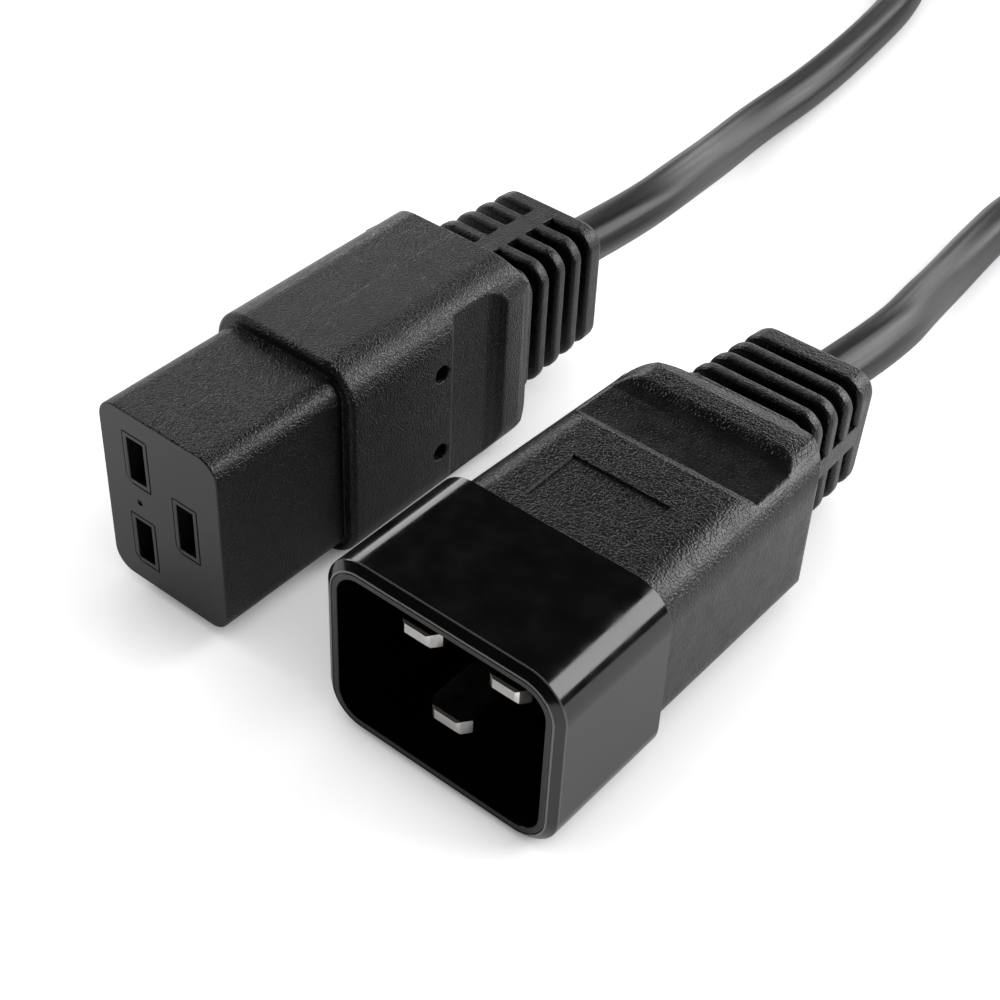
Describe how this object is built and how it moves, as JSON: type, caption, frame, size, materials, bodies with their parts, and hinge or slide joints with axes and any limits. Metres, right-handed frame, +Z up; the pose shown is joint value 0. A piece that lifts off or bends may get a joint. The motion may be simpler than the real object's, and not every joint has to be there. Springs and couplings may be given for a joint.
{
  "type": "c19 power connector",
  "caption": "Moulded C19 appliance connector with finger scoops and a ribbed strain relief, on a cord whose other end carries a matching C20 plug.",
  "frame": {"origin": "centre of the connector's underside, below the middle of its length", "axes": "-Y out of the mating face, +Y back along the connector towards its cord, +Z up"},
  "size_m": [0.1023, 0.3332, 0.0309],
  "materials": {
    "moulding": "fine-grained black PVC, satin",
    "carrier": "smooth dark insert",
    "shroud": "polished black",
    "contact_metal": "bare brass sheet",
    "pin_metal": "nickel plating",
    "copper": "stranded copper",
    "core_brown": "brown insulation",
    "core_blue": "light blue insulation",
    "core_green": "green and yellow insulation",
    "cord_sheath": "smooth dark grey sheath",
    "tie": "black strap"
  },
  "bodies": {
    "root": {"connector_overmould": "moulding", "contact_carrier": "carrier", "connector_live_contact": "contact_metal", "connector_neutral_contact": "contact_metal", "connector_earth_contact": "contact_metal", "connector_live_conductor": "copper", "connector_neutral_conductor": "copper", "connector_earth_conductor": "copper", "connector_live_core": "core_brown", "connector_neutral_core": "core_blue", "connector_earth_core": "core_green", "plug_overmould": "moulding", "plug_shroud": "shroud", "plug_live_pin": "pin_metal", "plug_neutral_pin": "pin_metal", "plug_earth_pin": "pin_metal", "plug_live_conductor": "copper", "plug_neutral_conductor": "copper", "plug_earth_conductor": "copper", "plug_live_core": "core_brown", "plug_neutral_core": "core_blue", "plug_earth_core": "core_green", "cord_connector_run": "cord_sheath", "cord_coil": "cord_sheath", "cord_plug_run": "cord_sheath", "coil_tie": "tie"}
  },
  "joints": []
}
